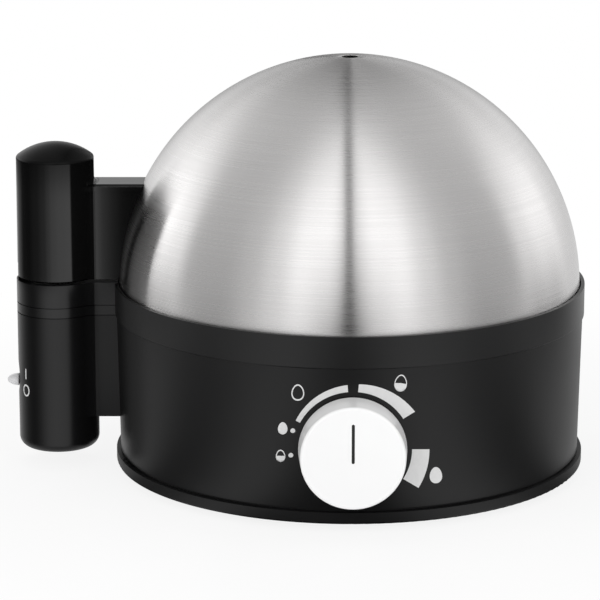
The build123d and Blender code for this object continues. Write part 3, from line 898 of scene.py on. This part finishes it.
class EGG_OT_switch_nub(bpy.types.Operator):
    """Shape the switch's nub with its nose rounded in both views"""

    bl_idname = "egg.switch_nub"
    bl_label = "Switch Nub"

    def execute(self, context):
        s = context.scene.egg_switch_nub
        low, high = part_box("switch_slider")
        middle = ((low.y + high.y) / 2, (low.z + high.z) / 2)
        root = low.x + s.out + s.gap
        steps = 16
        sections = []
        for i in range(1, steps + 1):
            t = math.pi / 2 * i / steps
            x = low.x + s.nose * (1 - math.cos(t))
            sections.append(rounded_section(
                x, middle, s.half_width * math.sin(t), s.half_height * math.sin(t),
            ))
        sections.append(rounded_section(root, middle, s.half_width, s.half_height))
        for x in (root, high.x):
            sections.append(rounded_section(x, middle, s.stem_half, s.stem_half, squareness=8))
        mesh = bpy.data.meshes.new("switch_nub")
        work = bmesh.new()
        rings = [[work.verts.new(p) for p in section] for section in sections]
        bridge(work, rings)
        first = rings[0]
        tip = work.verts.new((low.x, *middle))
        for n in range(len(first)):
            work.faces.new((tip, first[(n + 1) % len(first)], first[n]))
        work.faces.new(rings[-1])
        bmesh.ops.recalc_face_normals(work, faces=work.faces)
        work.to_mesh(mesh)
        work.free()
        grey = slider_plastic("nub_grey")
        piece = add_piece("switch_nub", mesh, "slider", grey)
        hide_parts("switch_slider")
        return {"FINISHED"}


class EGG_OT_finishes(bpy.types.Operator):
    """Give every carried-over part of the cooker its finish"""

    bl_idname = "egg.finishes"
    bl_label = "Finishes"

    def execute(self, context):
        s = context.scene.egg_finish
        steel = context.scene.egg_dome.tint
        black = s.housing_black
        housing = moulded_plastic("housing_satin", black, (0.34, 0.4), spread=0.1, gloss=0.3)
        under = moulded_plastic("cover_satin", black, (0.45, 0.55), grain=500, gloss=0.3)
        rim = moulded_plastic("rim_satin", black, (0.32, 0.38), spread=0.1, gloss=0.36)
        arm = moulded_plastic("arm_gloss", s.arm_black, (0.1, 0.14), grain_depth=0.03)
        smooth = {"grain_depth": 0.05}
        cap = moulded_plastic("cap_satin", s.arm_black, (0.22, 0.28), gloss=0.07, **smooth)
        white = moulded_plastic("dial_white", s.knob_white, (0.22, 0.28), spread=0.01, **smooth)
        grey = slider_plastic("slider_grey")
        pointer = printed_ink("pointer_black", (0.01, 0.01, 0.01))
        tray = moulded_plastic("tray_satin", (0.02, 0.02, 0.021), (0.4, 0.5), grain=600)
        component = moulded_plastic("component_black", (0.02, 0.02, 0.02), (0.4, 0.5))
        sensor = moulded_plastic("sensor_brown", (0.12, 0.05, 0.025), (0.35, 0.5))
        block = moulded_plastic("block_white", (0.55, 0.54, 0.5), (0.4, 0.5))
        turned = machined_metal("turned_aluminium", (0.62, 0.63, 0.65), (0.3, 0.42), (1, 1, 12))
        drawn = machined_metal("screw_steel", (0.5, 0.5, 0.51), (0.25, 0.38), (1, 1, 8), 400)
        heated = machined_metal("element_steel", (0.2, 0.18, 0.165), (0.35, 0.5), (1, 1, 1), 220)
        plate = machined_metal("plate_steel", steel, (0.28, 0.36), (1, 1, 20), 200)
        finishes = {
            "base_housing": housing, "column_housing": housing,
            "rim_ring": rim, "column_collar": rim, "bottom_cover": under,
            "lid_arm": arm, "arm_cover": arm, "column_cap": cap,
            "knob": white, "knob_pointer": pointer, "knob_shaft": turned,
            "switch_slider": grey,
            "egg_tray": tray, "tray_legs": tray, "tray_grips": tray,
            "cover_screws": drawn, "board_screws": drawn, "dome_screws": drawn, "hinge_pin": drawn,
            "rubber_feet": soft_rubber("foot_rubber", (0.02, 0.02, 0.02)),
            "dish_seal": soft_rubber("seal_rubber", (0.35, 0.05, 0.035)),
            "heating_dish": turned, "heat_spreader": turned, "backing_plate": plate,
            "heating_element": heated, "element_clamps": drawn,
            "thermostat": sensor, "thermal_fuse": sensor,
            "control_board": circuit_board("board_green"),
            "buzzer": component, "switch_body": component, "potentiometer": component,
            "terminal_block": block, "cord_gland": under,
            "lid_dome": plate,
        }
        missing = set(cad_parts) - set(finishes)
        if missing:
            raise RuntimeError(f"no finish for {sorted(missing)}")
        for node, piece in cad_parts.items():
            piece.data.materials.clear()
            piece.data.materials.append(finishes[node])
        return {"FINISHED"}


class EGG_OT_stage(bpy.types.Operator):
    """Set the floor, the backdrop light, the studio lamps and the camera"""

    bl_idname = "egg.stage"
    bl_label = "Stage"

    def execute(self, context):
        scene = context.scene
        s = scene.egg_stage
        scene.view_settings.view_transform = "Standard"
        self.make_floor(s)
        self.make_world(s)
        self.make_lamps()
        self.make_tent(s)
        self.make_sleeve(s)
        camera = bpy.data.cameras.new("camera")
        camera.lens = s.lens
        camera.sensor_width = 36
        camera.clip_end = 50
        place = (axis_x - s.sideways, axis_y - s.distance, s.eye_height)
        eye = place_object("camera", camera, place)
        eye.rotation_euler = (math.pi / 2 - s.pitch, 0, 0)
        scene.camera = eye
        return {"FINISHED"}

    def make_floor(self, s):
        """Round pale floor that keeps the cooker's shadow and grows plain white further out."""
        pinhole, drop, fade_start = 0.0005, 0.0002, 0.3
        radii = [s.floor_radius * (i / s.rings) ** 2 + pinhole for i in range(s.rings + 1)]
        mesh = turned_mesh("floor", [(radius, 0.0) for radius in radii], 96, closed=False)
        floor = place_object("floor", mesh, (axis_x, axis_y, -drop))
        material, nodes, links, shader = new_material("floor_white")
        shader.inputs["Roughness"].default_value = 0.6
        shader.inputs["Specular IOR Level"].default_value = 0.2
        grain = noise(nodes, links, 40)
        links.new(two_tone(nodes, links, grain, (0.9, 0.9, 0.9), 0.01), shader.inputs["Base Color"])
        glow = nodes.new("ShaderNodeEmission")
        glow.inputs["Strength"].default_value = 1.0
        place = nodes.new("ShaderNodeTexCoord")
        length = nodes.new("ShaderNodeVectorMath")
        length.operation = "LENGTH"
        links.new(place.outputs["Object"], length.inputs[0])
        fade = nodes.new("ShaderNodeMapRange")
        fade.interpolation_type = "SMOOTHSTEP"
        fade.inputs["From Min"].default_value = s.clear_radius * fade_start
        fade.inputs["From Max"].default_value = s.clear_radius
        fade.inputs["To Min"].default_value = s.near_glow
        fade.inputs["To Max"].default_value = 1.0
        links.new(length.outputs["Value"], fade.inputs["Value"])
        mix = nodes.new("ShaderNodeMixShader")
        links.new(fade.outputs["Result"], mix.inputs["Fac"])
        links.new(shader.outputs["BSDF"], mix.inputs[1])
        links.new(glow.outputs["Emission"], mix.inputs[2])
        links.new(mix.outputs["Shader"], nodes["Material Output"].inputs["Surface"])
        mesh.materials.append(material)

    def make_world(self, s):
        """Even light all round, seen as plain white."""
        world = bpy.data.worlds.new("studio")
        bpy.context.scene.world = world
        world.use_nodes = True
        nodes, links = world.node_tree.nodes, world.node_tree.links
        background = nodes["Background"]
        background.inputs["Color"].default_value = (1, 1, 1, 1)
        path = nodes.new("ShaderNodeLightPath")
        seen = path.outputs["Is Camera Ray"]
        for ray in ("Is Glossy Ray", "Is Transmission Ray"):
            seen = calculate(nodes, links, "MAXIMUM", seen, path.outputs[ray])
        strength = nodes.new("ShaderNodeMapRange")
        strength.inputs["To Min"].default_value = s.fill
        strength.inputs["To Max"].default_value = 1.0
        links.new(seen, strength.inputs["Value"])
        links.new(strength.outputs["Result"], background.inputs["Strength"])

    def make_lamps(self):
        """Two tall softboxes beside the camera and a weak one overhead."""
        # angle from the front, distance, height, size and watts
        lamps = [
            ("left_softbox", -30, 1.3, 0.6, (0.7, 1.0), 6.0),
            ("right_softbox", 30, 1.3, 0.6, (0.7, 1.0), 6.0),
            ("top_softbox", 180, 0.2, 1.3, (0.8, 0.8), 4.0),
        ]
        for name, angle, distance, height, size, power in lamps:
            light = bpy.data.lights.new(name, "AREA")
            light.shape = "RECTANGLE"
            light.size, light.size_y = size
            light.energy = power
            lamp = place_object(name, light, self.round_about(angle, distance, height))
            aim = Vector((axis_x, axis_y, 0.08)) - lamp.location
            lamp.rotation_euler = aim.to_track_quat("-Z", "Y").to_euler()
            lamp.visible_glossy = False

    def round_about(self, angle, distance, height):
        """Place round the cooker, by its angle from the front in degrees, clockwise from above."""
        a = math.radians(angle)
        return Vector((axis_x + distance * math.sin(a), axis_y - distance * math.cos(a), height))

    def make_sleeve(self, s):
        """Curved reflector in front of the column, which only shiny surfaces inside it show."""
        cap_low, cap_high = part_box("column_cap")
        arm_low, arm_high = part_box("lid_arm")
        column_r = (cap_high.x - cap_low.x) / 2
        column_x = (cap_high.x + cap_low.x) / 2
        plate_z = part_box("arm_cover")[1].z
        start, end = math.radians(-125), math.asin(column_r / s.sleeve_radius)
        count = 60
        off_table, off_column = 0.002, 0.0001
        angles = [start + (end - start) * i / count for i in range(count + 1)]
        outline = [
            (s.sleeve_radius * math.sin(a), -s.sleeve_radius * math.cos(a)) for a in angles
        ]
        outline.append((column_r + off_column, -s.arm_face))
        rows = [[(x, y, z) for x, y in outline] for z in (off_table, arm_high.z)]
        sleeve = sleeve_cloth("sleeve_cloth", arm_low.z)
        self.add_card("column_sleeve", rows, sleeve, column_x, axis_y)

        # beside the column, above the arm
        flag_end = 0.009
        rows = [
            [(column_r + off_column, y, z) for y in (-s.arm_face, flag_end)]
            for z in (plate_z + off_column, arm_high.z)
        ]
        self.add_card("column_flag", rows, sleeve, column_x, axis_y)

        # in front of the arm's side
        card_width, below_arm, behind_edge = 0.021, 0.005, 0.0014
        rows = [[(x, 0.0, z) for x in (0.0, card_width)] for z in (arm_low.z - below_arm, plate_z)]
        self.add_card(
            "arm_card", rows, card_cloth("arm_card_cloth", arm_card_glow),
            column_x + column_r - behind_edge, axis_y - s.sleeve_radius,
        )

    def add_card(self, name, rows, cloth, x, y):
        """Stand a reflector at a place on the table."""
        mesh = patch_mesh(name, rows)
        mesh.materials.append(cloth)
        card = place_object(name, mesh, (x, y, 0.0))
        self.only_shiny(card)

    def only_shiny(self, card):
        """Hide a card from all but reflections."""
        for ray in ("camera", "diffuse", "transmission", "volume_scatter", "shadow"):
            setattr(card, "visible_" + ray, False)

    def make_tent(self, s):
        """Light tent round the cooker that only shiny surfaces show, with its floor."""
        steps, above_floor = 24, 0.0003
        ground = [(s.tent_radius * (i + 0.1) / steps, 0.0) for i in range(steps)]
        wall = arc(s.tent_radius, math.pi / 2, 0, steps)[:-1]
        mesh = turned_mesh("light_tent", ground + wall, 96, closed=False)
        mesh.materials.append(tent_cloth("tent_cloth", s.tent_radius, s.seam_x))
        tent = place_object("light_tent", mesh, (axis_x, axis_y, above_floor))
        self.only_shiny(tent)


class EGG_PT_panel(bpy.types.Panel):
    """Steps that dress the egg cooker, in order"""

    bl_label = "Egg Cooker"
    bl_idname = "EGG_PT_panel"
    bl_space_type = "VIEW_3D"
    bl_region_type = "UI"
    bl_category = "Egg Cooker"

    def draw(self, context):
        scene = context.scene
        for operator, group_name, _ in dressing:
            box = self.layout.box()
            box.operator(operator.bl_idname)
            group = getattr(scene, group_name)
            for name in group.__annotations__:
                box.prop(group, name)


# Each step with its settings' name on the scene and their class
dressing = (
    (EGG_OT_dome, "egg_dome", DomeSettings),
    (EGG_OT_dial_print, "egg_dial_print", DialPrintSettings),
    (EGG_OT_switch_print, "egg_switch_print", SwitchPrintSettings),
    (EGG_OT_switch_nub, "egg_switch_nub", SwitchNubSettings),
    (EGG_OT_finishes, "egg_finish", FinishSettings),
    (EGG_OT_stage, "egg_stage", StageSettings),
)


def register():
    for operator, group_name, group in dressing:
        bpy.utils.register_class(group)
        setattr(bpy.types.Scene, group_name, PointerProperty(type=group))
        bpy.utils.register_class(operator)
    bpy.utils.register_class(EGG_PT_panel)


def unregister():
    bpy.utils.unregister_class(EGG_PT_panel)
    for operator, group_name, group in reversed(dressing):
        bpy.utils.unregister_class(operator)
        delattr(bpy.types.Scene, group_name)
        bpy.utils.unregister_class(group)


def main():
    register()
    bpy.ops.egg.dome()
    bpy.ops.egg.dial_print()
    bpy.ops.egg.switch_print()
    bpy.ops.egg.switch_nub()
    bpy.ops.egg.finishes()
    bpy.ops.egg.stage()


if __name__ == "__main__":
    main()
